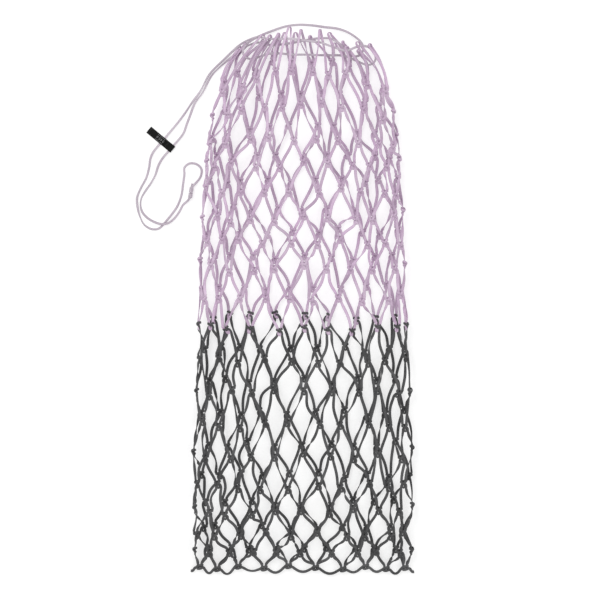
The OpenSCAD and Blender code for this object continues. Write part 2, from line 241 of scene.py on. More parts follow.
def ribbon_material(name, ground, motif, edge):
    """A woven band with a row of plain diamonds between two fine stripes, a painted highlight on its raised
    threads and lighter patches.
    """
    kit = Shader(name, 0.65, 0.04, 0.2)
    uv, along, across = kit.lengthwise()
    weft = kit.maths("SINE", kit.maths("DIVIDE", along, THREAD / (2 * math.pi)))
    warp = kit.maths("SINE", kit.maths("DIVIDE", across, THREAD / (2 * math.pi)))
    weave = kit.maths("MULTIPLY", weft, warp)
    wide = kit.maths("ABSOLUTE", across)
    phase = kit.maths("FRACT", kit.maths("DIVIDE", along, MOTIF["pitch"]))
    lean = kit.maths("ABSOLUTE", kit.maths("SUBTRACT", phase, 0.5))
    slope = kit.maths("DIVIDE", wide, 2 * MOTIF["height"])
    diamond = kit.maths("LESS_THAN", kit.maths("ADD", lean, slope), DIAMOND_OUTER)
    hollow = kit.maths("GREATER_THAN", kit.maths("ADD", lean, slope), DIAMOND_INNER)
    stripe = kit.maths("COMPARE", wide, STRIPE_AT)
    stripe.node.inputs[2].default_value = STRIPE_HALF
    drawn = kit.maths("MAXIMUM", kit.maths("MULTIPLY", diamond, hollow), stripe)
    gap = kit.maths("ABSOLUTE", kit.maths("SUBTRACT", along, MOTIF["middle"]))
    here = kit.maths("MULTIPLY", drawn, kit.maths("LESS_THAN", gap, MOTIF["half"]))
    fuzz = kit.noise(uv, 2600.0, 2.0)
    # Painted highlight on the raised crossings of the weave
    body = kit.mix(kit.range(weave, -1.0, 1.0, 0.0, 0.6), ground, edge)
    body = kit.mix(kit.maths("MULTIPLY", here, kit.range(fuzz, 0.3, 0.7, 0.55, 0.95)), body, motif)
    # Lighter patches at random, in the tone of the painted highlight
    body = kit.mix(kit.range(kit.noise(kit.place(), 90.0), 0.55, 0.8, 0.0, 0.35), body, edge)
    rough = kit.range(fuzz, 0.3, 0.7, 0.55, 0.8)
    height = kit.maths("ADD", weave, kit.maths("MULTIPLY", here, 1.5))
    return kit.finish(body, rough, height, 0.5, WEAVE_DEPTH)


# Length of the sewing thread's twist, and how deep it is
PLY_L, PLY_DEPTH = 0.5 * MM, 0.08 * MM


def thread_material(name, lit_tone, shade_tone):
    """Two-ply sewing thread, lit on the plies' tops with painted shade between them."""
    kit = Shader(name, 0.5, 0.3)
    uv, along, around = kit.lengthwise()
    slope = kit.maths("ADD", kit.maths("DIVIDE", along, PLY_L), kit.maths("MULTIPLY", around, 2.0))
    ply = kit.maths("ABSOLUTE", kit.maths("SINE", kit.maths("MULTIPLY", slope, math.pi)))
    fuzz = kit.noise(uv, 1800.0)
    # Lit tone on the plies and painted shade between them
    body = kit.mix(ply, shade_tone, lit_tone)
    return kit.finish(body, kit.range(fuzz, 0.3, 0.7, 0.45, 0.7), ply, 0.5, PLY_DEPTH)


# Each braid's lit tone, painted shade tone (also its darker fibres), faded tone and sheen
LILAC = braid_material(
    "lilac_braid", colour(0.88, 0.77, 0.88), colour(0.64, 0.54, 0.64), colour(0.90, 0.83, 0.90), 0.2
)
CHARCOAL = braid_material(
    "charcoal_braid", colour(0.35, 0.35, 0.355), colour(0.13, 0.13, 0.135), colour(0.42, 0.42, 0.425), 0.08
)
CORD = braid_material(
    "draw_cord", colour(0.84, 0.79, 0.84), colour(0.62, 0.57, 0.62), colour(0.85, 0.82, 0.85), 0.2
)
# The band's ground, motif, and the tone of its painted highlight and lighter patches
RIBBON = ribbon_material(
    "label_ribbon", colour(0.02, 0.02, 0.022), colour(0.56, 0.56, 0.57), colour(0.07, 0.07, 0.072)
)
# The thread's lit tone and painted shade tone
THREADS = thread_material("label_thread", colour(0.27, 0.27, 0.275), colour(0.13, 0.13, 0.13))

# ---------------------------------------------------------------- swept strips


def braid_section(sides, groove):
    """Corners of a flat braid's cross-section from -1 to 1, with a shallow groove down each face."""
    angle = 2 * math.pi * (np.arange(sides) + 0.5) / sides
    wide = np.sign(np.cos(angle)) * np.abs(np.cos(angle)) ** 0.7
    thick = np.sign(np.sin(angle)) * np.abs(np.sin(angle)) ** 0.75
    return np.stack([wide, thick * (1 - groove * np.exp(-((wide / 0.35) ** 2)))], axis=1)


BRAID = braid_section(12, 0.16)
FLAT_CORD = braid_section(12, 0.10)
ROUND = braid_section(8, 0.0)
# Nine corners along the top of a flat band and nine back along its underside
BAND = np.array([[x, y] for y in (1, -1) for x in np.linspace(y, -y, 9) * 0.985])


def sweep(name, rows, section, material, closed=False, across=False):
    """A piece swept along rows of place, face direction, width, thickness and tone.

    Its UV map holds the distance along it, and its share of the way round or the place across.
    """
    at, face, size = rows[:, :3], rows[:, 3:6], rows[:, 6:8] / 2
    if closed:
        way = unit(np.roll(at, -1, axis=0) - np.roll(at, 1, axis=0))
    else:
        way = unit(np.gradient(at, axis=0))
    flat = unit(np.cross(way, face))
    rise = np.cross(flat, way)
    points = (
        at[:, None]
        + (section[None, :, :1] * size[:, None, :1]) * flat[:, None]
        + (section[None, :, 1:] * size[:, None, 1:]) * rise[:, None]
    )
    count, sides = len(at), len(section)
    ring = np.arange(count if closed else count - 1)[:, None]
    side = np.arange(sides)[None]
    this, after = ring * sides, (ring + 1) % count * sides
    turn = (side + 1) % sides
    quads = np.stack(np.broadcast_arrays(this + side, this + turn, after + turn, after + side), axis=-1)
    faces = quads.reshape(-1, 4)[:, ::-1].tolist()
    if not closed:
        faces += [list(range(sides)), list(range((count - 1) * sides, count * sides))[::-1]]
    mesh = bpy.data.meshes.new(name)
    mesh.from_pydata(points.reshape(-1, 3).tolist(), [], faces)
    steps = np.linalg.norm(np.diff(at, axis=0, append=at[:1] if closed else at[-1:]), axis=1)
    distance = np.concatenate([[0.0], np.cumsum(steps)])
    round_about = np.arange(sides + 1) / sides
    if across:
        round_about = np.append(section[:, 0], section[0, 0]) * size[0, 0]
    u = np.broadcast_to(distance[ring], quads.shape[:2])
    u_after = np.broadcast_to(distance[ring + 1], quads.shape[:2])
    v = np.broadcast_to(round_about[side], quads.shape[:2])
    v_after = np.broadcast_to(round_about[side + 1], quads.shape[:2])
    corners = np.stack(
        [np.stack(pair, -1) for pair in ((u_after, v), (u_after, v_after), (u, v_after), (u, v))],
        axis=2,
    )
    lay = np.zeros((len(mesh.loops), 2))
    lay[: quads.size] = corners.reshape(-1, 2)
    mesh.uv_layers.new(name="Lay").data.foreach_set("uv", lay.ravel())
    tones = mesh.attributes.new("tone", "FLOAT", "POINT")
    tones.data.foreach_set("value", np.repeat(rows[:, 8], sides))
    mesh.polygons.foreach_set("use_smooth", [True] * len(mesh.polygons))
    mesh.materials.append(material)
    mesh.validate()
    piece = bpy.data.objects.new(name, mesh)
    bpy.context.collection.objects.link(piece)
    return piece


def join(name, parts):
    """Several swept parts made one piece."""
    bpy.ops.object.select_all(action="DESELECT")
    for part in parts:
        part.select_set(True)
    bpy.context.view_layer.objects.active = parts[0]
    bpy.ops.object.join()
    parts[0].name = name
    parts[0].select_set(False)
    return parts[0]


# ---------------------------------------------------------------- draw cord

CORD_W, CORD_T = 3.8 * MM, 1.5 * MM
CORD_STEP = 2.0 * MM
# The cord's route in millimetres, as in the part
FIRST_ROUND = [
    (-72, 430, 25), (-56, 427, 25), (-38, 427, 25), (-18, 427, 25), (6, 424, 25),
    (30, 421, 25), (50, 414, 25), (72, 408, 25), (90, 414, 25), (100, 416, 22),
    (110, 414, 17), (118, 406, 14), (121, 397, 13), (117, 389, 13), (107, 386, 13),
    (96, 390, 13), (82, 396, 13), (68, 401, 13), (52, 402, 13), (32, 402, 13),
    (8, 403, 13), (-16, 403, 13), (-38, 405, 13), (-56, 404, 13), (-74, 398, 13),
    (-86, 396, 13), (-95, 401, 13), (-97, 410, 13), (-92, 419, 13), (-82, 427, 12),
    (-66, 436, 8), (-48, 444, 3), (-28, 451, 1.2), (-6, 454, 1.2), (16, 453, 1.2),
    (38, 450, 1.6), (58, 447, 5), (74, 441, 9), (88, 432, 11),
]
SECOND_ROUND = [
    (88, 432, 11), (97, 424, 10), (101, 414, 8), (96, 404, 6), (86, 401, 6),
    (77, 406, 6), (70, 414, 6), (62, 422, 6), (48, 430, 6), (30, 431, 6),
    (8, 428, 6), (-18, 423, 6), (-42, 420, 6), (-60, 421, 6), (-72, 424, 6),
]
LEFT_END = [
    (-72, 430, 25), (-84, 427, 22), (-98, 421, 17), (-112, 411, 9), (-128, 397, 2.4),
    (-152, 373, 1.2), (-168, 344, 1.2), (-181, 326, 1.2), (-193, 308, 1.4),
    (-205, 292, 2.4), (-225, 268, 2.4), (-245, 244, 2.4), (-250, 233, 1.6),
    (-252, 219, 1.2), (-257, 201, 1.2), (-266, 184, 1.2), (-272, 168, 1.2),
    (-271, 152, 1.2), (-267, 137, 1.2), (-260, 124, 1.2), (-248, 117, 1.2),
    (-236, 118, 1.2), (-225, 129, 1.2), (-206, 154, 1.2), (-199, 172, 1.2),
    (-196, 192, 1.2), (-194, 208, 1.2), (-194, 218, 1.2), (-186, 225, 1.2),
    (-174, 224, 1.2), (-166, 216, 1.2), (-167, 204, 1.2), (-173, 195, 2.4),
    (-180, 187, 4.4), (-181.6, 183, 4.4),
]
RIGHT_END = [
    (-72, 424, 6), (-84, 421, 6), (-96, 415, 6), (-109, 405, 5.6), (-125, 393, 3.8),
    (-149, 370, 1.2), (-164, 342, 1.2), (-177, 324, 1.2), (-184, 306, 1.2),
    (-190, 290, 1.4), (-196, 274, 2.4), (-216, 250, 2.4), (-231, 232, 2.4),
    (-237, 221, 1.6), (-242, 206, 1.2), (-249, 193, 1.2), (-258, 180, 1.2),
    (-265, 167, 1.2), (-266, 154, 1.2), (-262, 143, 1.4), (-253, 134, 2),
    (-242, 128, 3.2), (-231, 125, 3.8), (-220, 127, 3.4), (-210, 135, 2.2),
    (-202, 146, 1.2), (-196, 157, 1.4), (-189, 163, 3), (-185, 168, 4.4),
    (-184.2, 171, 4.4),
]
# The free ends twist slowly as they lie, but not where the label or their crossing holds them flat
END_TWIST = math.radians(62)
MOUTH_TWIST = math.radians(20)
# Share, length and start of the twist's two waves
TWIST_WAVES = ((0.6, 0.021, 0.0), (0.5, 0.0133, 1.0))
# Length over which a hold lets go, and reach of the holds
STEADY = 0.030
LABEL_HOLD, CROSSING_HOLD = 0.045, 0.008
CROSSING = np.array([-225.0, 127.7, 0.0]) * MM
# Points of the curve over which one twist changes to the other
EASING = 13
FLOOR_GAP = 0.1 * MM
# Share and length of the waves in the cord's width and tone
SWELL, SWELL_L = 0.05, 0.017
SHADING, SHADING_L = 0.04, 0.05
# Small enough to tell one point of the route from the next
TINY = 1e-9
CORD_PIECES = ("cord_left_end", "cord_first_round", "cord_second_round", "cord_right_end")


def roll_of_cord(at, distance, free):
    """How far the cord is twisted about its own line at each place, in radians."""
    label_at = np.mean([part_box("label_band")[0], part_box("label_band")[1]], axis=0)
    reach = np.where(free, END_TWIST, MOUTH_TWIST)
    reach = np.convolve(np.pad(reach, EASING // 2, mode="edge"), np.ones(EASING) / EASING, mode="valid")
    near_end = np.minimum(distance, distance[-1] - distance)
    near_label = np.linalg.norm((at - label_at)[:, :2], axis=1) - LABEL_HOLD
    near_crossing = np.linalg.norm((at - CROSSING)[:, :2], axis=1) - CROSSING_HOLD
    nearest_hold = np.minimum(np.minimum(near_end, near_label), near_crossing)
    calm = np.clip(nearest_hold / STEADY, 0, 1)
    waves = sum(share * np.sin(distance / length + start) for share, length, start in TWIST_WAVES)
    return reach * calm * waves


def cord_pieces():
    """The whole draw cord on one smooth curve, cut where its two rounds and two ends meet."""
    routes = [LEFT_END[::-1], FIRST_ROUND, SECOND_ROUND, RIGHT_END]
    points, cuts = [routes[0][0]], [0]
    for route in routes:
        points += route[1:]
        cuts.append(len(points) - 1)
    points = np.array(points, float) * MM
    counted = np.concatenate([points, np.arange(len(points))[:, None]], axis=1)
    line = smooth(counted, CORD_STEP)
    at, place = line[:, :3], line[:, 3]
    distance = np.concatenate([[0], np.cumsum(np.linalg.norm(np.diff(at, axis=0), axis=1))])
    roll = roll_of_cord(at, distance, (place < cuts[1]) | (place > cuts[3]))
    way = unit(np.gradient(at, axis=0))
    flat = unit(np.cross(way, SKYWARD))
    face = np.cross(flat, way) * np.cos(roll)[:, None] + flat * np.sin(roll)[:, None]
    low = CORD_W / 2 * np.abs(np.sin(roll)) + CORD_T / 2 * np.cos(roll) + FLOOR_GAP
    at[:, 2] = np.maximum(at[:, 2], low)
    width = CORD_W * (1 + SWELL * np.sin(distance / SWELL_L))
    tone = 1 + SHADING * np.sin(distance / SHADING_L)
    rows = np.column_stack([at, face, width, np.full(len(at), CORD_T), tone])
    pieces = {}
    for n, name in enumerate(CORD_PIECES):
        part = rows[(place >= cuts[n] - TINY) & (place <= cuts[n + 1] + TINY)]
        piece = sweep(name, part, FLAT_CORD, CORD)
        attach(piece, "net")
        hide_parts(f"draw_{name}")
        pieces[name] = piece, part[:, :3]
    return pieces


KNOT_LEAN = math.radians(9)
# Turns of a barrel, the angle where they start and the points along them
BARREL_TURNS, BARREL_START, BARREL_POINTS = 2.6, 0.8, 48
# Where a barrel starts from the knot's middle, its length and its radius
BARREL_FROM, BARREL_L, BARREL_R = 0.8 * MM, 7.4 * MM, 2.75 * MM
# Width, thickness and tone of the cord in the barrels, the tails and the core
BARREL_CORD = (3.0 * MM, 1.5 * MM, 1.0)
TAIL_CORD = (3.2 * MM, 1.5 * MM, 0.97)
CORE_CORD = (3.6 * MM, 2.2 * MM, 0.98)
# Places on a tail in millimetres: along the knot from its middle, and out from it
TAIL = ((9.8, 2.3), (12.6, 2.9), (15.2, 3.2))
TAIL_LOWEST = 1.6 * MM
# Places of the core along the knot, in millimetres
CORE = (-9.5, -4, 0, 4, 9.5)
WRAP_STEP, CORE_STEP = 0.8 * MM, 1.0 * MM


def cord_knot():
    """The cord's two ends tied round each other: two wrapped barrels and two short tails."""
    low, high = (np.array(corner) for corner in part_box("draw_cord_knot"))
    middle = (low + high) / 2
    axis = unit([math.sin(KNOT_LEAN), math.cos(KNOT_LEAN), 0.0])
    flat = np.cross(axis, SKYWARD)
    parts = []
    for sign in (1, -1):
        rows = []
        for n in range(BARREL_POINTS + 1):
            t = n / BARREL_POINTS
            angle = 2 * math.pi * BARREL_TURNS * t * sign + BARREL_START
            away = flat * math.cos(angle) + SKYWARD * math.sin(angle)
            along = sign * (BARREL_FROM + BARREL_L * t)
            rows.append([*(middle + axis * along + away * BARREL_R), *away, *BARREL_CORD])
        away = np.array(rows[-1][3:6])
        for reach, out in TAIL:
            at = middle + axis * sign * reach * MM + away * out * MM
            at[2] = max(at[2], TAIL_LOWEST)
            rows.append([*at, *away, *TAIL_CORD])
        parts.append(sweep(f"wrap_{sign}", smooth(np.array(rows), WRAP_STEP), BRAID, CORD))
    core = np.array([[*(middle + axis * y * MM), *SKYWARD, *CORE_CORD] for y in CORE])
    parts.append(sweep("core", smooth(core, CORE_STEP), BRAID, CORD))
    knot = join("cord_knot", parts)
    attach(knot, "net")
    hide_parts("draw_cord_knot")
    return knot


# ---------------------------------------------------------------- label

# The label's place, and the way that the cord ends run through it, as in the part
LABEL_AT = np.array([-233.0, 264.6, 0.0]) * MM
CORD_WAY = unit([-5.0, -6.0, 0.0])
LABEL_WAY = np.array([-CORD_WAY[1], CORD_WAY[0], 0.0])
LABEL_W, RIBBON_T = 13.0 * MM, 0.5 * MM
# The band's middle line seen from its edge, in millimetres: along the label, and height
LABEL_LINE = [
    (-25.8, 0.62), (-14, 0.5), (0, 0.48), (14, 0.5), (22, 0.5), (24.6, 0.72), (25.7, 1.5),
    (26, 2.6), (25.3, 3.8), (23.8, 4.15), (22.4, 4.2), (20.8, 4.1), (19.6, 3.5), (18.4, 2.1),
    (17, 1.35), (14.6, 1.16), (13.2, 1.1), (11.6, 1.2), (9.4, 1.35), (8, 2.1), (6.8, 3.5),
    (5.6, 4.1), (4, 4.2), (2.4, 4.1), (1.2, 3.5), (0, 2.1), (-1.4, 1.35), (-3.4, 1.1), (-6, 1.25),
    (-12, 1.45), (-18, 1.35), (-23, 1.1), (-25.8, 1.3),
]
# Each seam's place along the label and its height, in millimetres
SEAMS = [(-23.0, 1.1), (-3.4, 1.1), (13.2, 1.1)]
STITCHES = 5
# Half length, slant, lift and arch of a stitch, in millimetres, and its thread
STITCH_HALF, STITCH_SLANT, STITCH_LIFT, STITCH_ARCH = 0.75, 0.12, 0.10, 0.30
THREAD_W, THREAD_T = 0.5 * MM, 0.36 * MM
BAND_STEP, STITCH_STEP = 0.8 * MM, 0.25 * MM


def stitch(seam, height, v):
    """One stitch of a seam, v millimetres from the middle of the band's width."""
    rows = []
    for t in (-1, -0.7, 0, 0.7, 1):
        u = seam + STITCH_SLANT * t
        lift = height + STITCH_LIFT + STITCH_ARCH * (1 - t * t)
        at = LABEL_AT + (LABEL_WAY * u + CORD_WAY * (v + STITCH_HALF * t) + SKYWARD * lift) * MM
        rows.append([*at, *SKYWARD, THREAD_W, THREAD_T, 1.0])
    return sweep("stitch", smooth(np.array(rows), STITCH_STEP), ROUND, THREADS)


def label_pieces():
    """One woven band folded over the two ends of the cord, and the thread that closes it."""
    line = np.array([LABEL_AT + LABEL_WAY * u * MM + SKYWARD * z * MM for u, z in LABEL_LINE])
    line = smooth(line, BAND_STEP)
    face = np.cross(unit(np.gradient(line, axis=0)), CORD_WAY)
    size = np.tile([LABEL_W, RIBBON_T, 1.0], (len(line), 1))
    band = sweep("label_ribbon", np.column_stack([line, face, size]), BAND, RIBBON, across=True)
    developed = float(np.linalg.norm(np.diff(line, axis=0), axis=1).sum())
    across = [((n + 0.5) / STITCHES - 0.5) * LABEL_W / MM for n in range(STITCHES)]
    threads = [stitch(seam, height, v) for seam, height in SEAMS for v in across]
    stitching = join("label_stitches", threads)
    for piece, slot, node in (
        (band, "label_ribbon", "label_band"),
        (stitching, "label_thread", "label_stitching"),
    ):
        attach(piece, "label")
        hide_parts(node)
    return band, stitching, developed


def lay_cords():
    """Makes the cord, its knot and the label."""
    pieces = cord_pieces()
    knot = cord_knot()
    band, stitching, developed = label_pieces()
    for name, extra in (("cord_left_end", [knot, band, stitching]), ("cord_right_end", [knot])):
        piece, path = pieces[name]
        path = path[::-1] if name == "cord_left_end" else path


lay_cords()

# ---------------------------------------------------------------- knots and bars from the frame

# Corners nearer than this are one corner
GRID = 0.01 * MM
# Corners of a bar's box and of a knot's chamfered block
BAR_CORNERS, KNOT_CORNERS = 8, 16
# A bend's box is thinner along the net and taller than this
BEND_THIN, BEND_TALL = 2.5 * MM, 9 * MM
# A bar leaves its turn this far to one side, and this far along the net from its middle
SLOT, BEND_SPLIT = 3.3 * MM, 4.2 * MM
KNOT_REACH, BEND_REACH, LACING_REACH = 7.9 * MM, 1.8 * MM, 7.1 * MM
# The two layers' loops lie this far above and below the middle of a lacing knot
LACING_LAYER = 3.0 * MM
# Usual spin of a knot in the net, either way
KNOT_SPIN = math.radians(10)


def shapes(node):
    """The separate solids of a CAD node, each as an array of its corners."""
    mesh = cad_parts[node].data
    places = np.empty(len(mesh.vertices) * 3)
    mesh.vertices.foreach_get("co", places)
    ends = np.empty(len(mesh.edges) * 2, int)
    mesh.edges.foreach_get("vertices", ends)
    grid = np.round(places.reshape(-1, 3) / GRID).astype(int)
    corners, which = np.unique(grid, axis=0, return_inverse=True)
    a, b = which.ravel()[ends.reshape(-1, 2)].T
    label = np.arange(len(corners))
    while True:
        lowest = np.minimum(label[a], label[b])
        after = label.copy()
        np.minimum.at(after, a, lowest)
        np.minimum.at(after, b, lowest)
        if (after == label).all():
            return [corners[label == n] * GRID for n in np.unique(label)]
        label = after


def bar_ends(corners):
    """The middles of a bar's two ends, the one nearer the mouth first."""
    middle = corners.mean(axis=0)
    axis = np.linalg.svd(corners - middle)[2][0]
    axis = axis * (1 if axis[1] > 0 else -1)
    half = np.abs((corners - middle) @ axis).max() * axis
    return middle + half, middle - half


def is_bend(corners):
    size = np.ptp(corners, axis=0)
    return size[1] < BEND_THIN and size[2] > BEND_TALL


def knot_middles(solids):
    return [corners.mean(axis=0) for corners in solids if len(corners) == KNOT_CORNERS]


class Turn:
    """A place where the braid turns back: a knot, or a bend over the draw cord."""

    def __init__(self, at, side, slot, reach, spin=0.0):
        self.at = at
        self.joints = [at + UP * reach + sign * slot * side for sign in (-1, 1)]
        self.face(side, spin)

    def face(self, side, spin=0.0):
        """Sets the turn's own directions: its right side, its top and outward."""
        out = np.cross(side, UP)
        self.axes = np.stack([turned_about(side, out, spin), turned_about(UP, out, spin), out])

    def placed(self, form, backwards):
        """Rows of a form of braid in this turn, from its left side to its right side."""
        local = np.array(form, float)
        at = self.at + local[:, :3] @ self.axes * MM
        rows = np.column_stack([at, unit(local[:, 3:6] @ self.axes), local[:, 6:] * MM])
        return rows[::-1] if backwards else rows


def read_ring(knots, tops, chance):
    """Each knot's place, its right side as the bars below it show, and a slight spin."""
    middle = np.mean(knots, axis=0)
    turns = []
    for at in knots:
        near = sorted(tops, key=lambda top: np.linalg.norm(top - (at - UP * KNOT_REACH)))[:2]
        side = unit((near[1] - near[0]) * (1, 0, 1))
        side = side if np.cross(side, UP) @ (at - middle) > 0 else -side
        turns.append((at, side, chance.gauss(0, KNOT_SPIN)))
    return turns


def walk(uppers, lowers, bars):
    """The way of one length of braid through a round, as pairs of an upper and a lower joint.

    A joint is the number of its turn, and 0 on the turn's left side or 1 on its right.
    """

    def nearest(turns, spot):
        return min(
            (np.linalg.norm(joint - spot), n, side)
            for n, turn in enumerate(turns)
            for side, joint in enumerate(turn.joints)
        )[1:]

    down, back = {}, {}
    for top, bottom in bars:
        upper, lower = nearest(uppers, top), nearest(lowers, bottom)
        down[upper], back[lower] = lower, upper
    way, here = [], (0, 1)
    for _ in uppers:
        there = down[here]
        way.append((here, there))
        n, side = back[there[0], 1 - there[1]]
        here = (n, 1 - side)
    return way


# ---------------------------------------------------------------- forms of the braid in its turns

# Across, towards the mouth and outward in millimetres, the way the face looks, width, thickness
LOOP_HALF = [
    (-3.3, 7.6, 0, 0, 0, 1, 4.5, 1.5), (-2.8, 5.4, 0, 0, 0, 1, 3.8, 1.8),
    (-2, 2.6, -0.3, 0, 0, 1, 3.4, 2), (-1.8, -0.8, 0, -0.3, 0, 1, 3.4, 2),
    (-1.8, -3.4, 0.3, -0.3, 0, 1, 3.2, 2.1), (-1.3, -5.1, 0.4, -0.2, -0.2, 1, 2.9, 2.3),
]
WRAP = [
    (-4.1, -6.2, -0.4, 0, 0, 1, 4.2, 1.5), (-3.8, -3.2, -1.2, 0, 0, 1, 3.5, 1.7),
    (-2.7, -0.9, -2.0, 0, -0.4, 1, 3.5, 2), (-0.9, -0.4, -1.0, 0, -1, 0.8, 3.3, 2),
    (-0.2, -0.2, 0.9, 0, -1, 0.5, 3.3, 2), (0.3, 0.9, 3.1, 0, -0.5, 1, 3.7, 2.1),
    (1.3, 2.8, 3.8, 0, 0, 1, 3.9, 2.1), (3.3, 4.5, 2.7, 0.6, 0.3, 1, 3.9, 2.1),
    (4.7, 4.9, 0, 1, 0.1, 0, 3.9, 2.1), (3.2, 4.9, -2.3, 0.4, 0, -1, 3.9, 2.1),
    (0, 4.7, -2.6, 0, 0, -1, 3.9, 2.1), (-3.2, 4.4, -2.3, -0.4, 0, -1, 3.9, 2.1),
    (-4.8, 3.8, 0, -1, 0, 0, 3.9, 2.1), (-3.5, 3, 2.2, -0.5, 0, 1, 3.9, 2.1),
    (-1, 2, 2.1, 0, 0, 1, 3.5, 2.1), (1.2, 1.2, 2, 0, 0, 1, 3.5, 2.1),
    (3.4, 0.2, 2, 0.4, 0, 1, 3.7, 2.1), (4.5, -2.4, 0.9, 0.5, 0, 1, 3.6, 1.7),
    (4.1, -6.2, -0.2, 0, 0, 1, 4.2, 1.5),
]
BEND = [
    (-4, -1.8, 0, -1, 0, 0, 3.9, 1.5), (-3.5, -0.2, 0, -1, 0.6, 0, 3.8, 1.6),
    (-2.2, 1, 0, -0.6, 1, 0, 3.7, 1.6), (0, 1.5, 0, 0, 1, 0, 3.7, 1.6),
    (2.2, 1, 0, 0.6, 1, 0, 3.7, 1.6), (3.5, -0.2, 0, 1, 0.6, 0, 3.8, 1.6),
    (4, -1.8, 0, 1, 0, 0, 3.9, 1.5),
]
LACED_HALF = [
    (-3.3, 6.8, 0, 0, 0, 1, 4.2, 1.6), (-2.9, 3.6, 0, 0, 0, 1, 3.6, 1.7),
    (-2.3, 0.6, -0.8, 0, 0, 1, 3.2, 1.8), (-1.5, -2.4, -1.2, -0.3, 0, 1, 3.2, 1.8),
]


def mirrored(half, lowest):
    """A form that is the same on its right as on its left, through its lowest point."""
    return [*half, lowest, *[(-x, y, z, -a, b, c, w, t) for x, y, z, a, b, c, w, t in half[::-1]]]


LOOP = mirrored(LOOP_HALF, (0, -5.9, 0.4, 0, -0.3, 1, 2.8, 2.4))
LACED_LOOP = mirrored(LACED_HALF, (0, -3.3, -1.2, 0, 0, 1, 3.2, 1.8))


# Width and thickness of the braid, how far its bars bow by chance, how much they leave their
# turns along the net, and how much they arch away from the middle of the net
Lay = namedtuple("Lay", "width thickness bow sway arch")
MOUTH_LAY = Lay(4.5 * MM, 1.5 * MM, 0.8 * MM, 0.0, 0.05)
LILAC_LAY = Lay(5.0 * MM, 1.5 * MM, 1.7 * MM, 0.3, 0.0)
CHARCOAL_LAY = Lay(4.8 * MM, 1.5 * MM, 2.3 * MM, 0.3, 0.0)
# A bar this long bows fully
FULL_BOW_L = 40 * MM
# Share of the bars that lie nearly flat, and the twist in degrees of these and of the rest
FLAT_SHARE, FLAT_TWIST, FULL_TWIST = 0.58, (0, 22), (40, 95)
# Where along a bar its twist may peak, and how dark or light a bar may be
TWIST_PEAK, BAR_TONE = (0.35, 0.65), (0.82, 1.10)
# A bar narrows to this share of its width over this share of its length from each knot
NECK, NECK_L = 0.92, 0.24
KNOT_TONE = 0.97
BRAID_STEP = 1.25 * MM


def bar(start, end, half_turn, chance, lay):
    """Rows of a bar of braid between two turns, bowed and twisted a little by chance."""
    go = end[:3] - start[:3]
    length = np.linalg.norm(go)
    lean = unit(go * (1 - lay.sway) / length + UP * math.copysign(lay.sway, go[1]))
    last_face = end[3:6] * math.copysign(1, start[3:6] @ end[3:6])
    across = unit(np.cross(start[3:6] + last_face, go))
    bend = across * chance.gauss(0, lay.bow) + unit(start[3:6]) * chance.gauss(0, 0.25 * lay.bow)
    bend *= min(1, length / FULL_BOW_L)
    bend = bend + lay.arch * ((start[0] + end[0]) / 2) * RIGHT
    sense = chance.choice((-1, 1))
    degrees = FLAT_TWIST if chance.random() < FLAT_SHARE else FULL_TWIST
    twist = sense * math.radians(chance.uniform(*degrees))
    skew = math.log(0.5) / math.log(chance.uniform(*TWIST_PEAK))
    tone = chance.uniform(*BAR_TONE)
    rows = []
    for t in (0.1, 0.24, 0.37, 0.5, 0.63, 0.76, 0.9):
        ease = 3 * t * t - 2 * t**3
        line = (t**3 - 2 * t * t + t) + (t**3 - t * t)
        at = start[:3] + go * ease + lean * length * line
        at = at + bend * math.sin(math.pi * t) ** 1.2
        face = unit(start[3:6] * (1 - t) + last_face * t)
        hump = math.sin(math.pi * t**skew) ** 1.4
        angle = twist * hump + (math.copysign(math.pi, twist) * ease if half_turn else 0)
        face = turned_about(face, unit(go), angle)
        full = min(1, min(t, 1 - t) / NECK_L)
        width = lay.width * (NECK + (1 - NECK) * full)
        rows.append([*at, *face, width, lay.thickness, tone])
    return np.array(rows)


def knit(blocks, chance, lay, half_turns):
    """Rows for one closed length of braid: the turns in order, with a bar after each."""
    turned = set(chance.sample(range(len(blocks) - 1), half_turns))
    rows, sign = [], 1.0
    for n, block in enumerate(blocks):
        block = np.column_stack([block, np.full(len(block), KNOT_TONE)])
        block[:, 3:6] *= sign
        rows.append(block)
        after = blocks[(n + 1) % len(blocks)]
        meets = math.copysign(1, block[-1, 3:6] @ after[0, 3:6])
        half_turn = n in turned if n + 1 < len(blocks) else meets < 0
        rows.append(bar(block[-1], after[0], half_turn, chance, lay))
        sign = meets * (-1 if half_turn else 1)
    return smooth(np.concatenate(rows), BRAID_STEP, closed=True)


# ---------------------------------------------------------------- the rounds of the net

LILAC_ROUNDS, CHARCOAL_ROUNDS = 10, 8
COURSES = [f"lilac_course_{n + 1:02d}" for n in range(LILAC_ROUNDS)]
COURSES += [f"charcoal_course_{n + 1:02d}" for n in range(CHARCOAL_ROUNDS)]
COURSES += ["closing_course"]
# Bars that turn over once in a round, before its last bar puts the braid's faces right
HALF_TURNS = 4
FIRST_SEED = 11
# Lean of the mouth's loops on the draw cord, in degrees
LOOP_LEAN = (15, 50)


def lacing_turns():
    """The turns of the closing round's loops in both layers of the lacing knots."""
    return [
        Turn(at + SKYWARD * layer * LACING_LAYER, RIGHT * layer, SLOT, LACING_REACH)
        for at in knot_middles(shapes("bottom_lacing"))
        for layer in (1.0, -1.0)
    ]


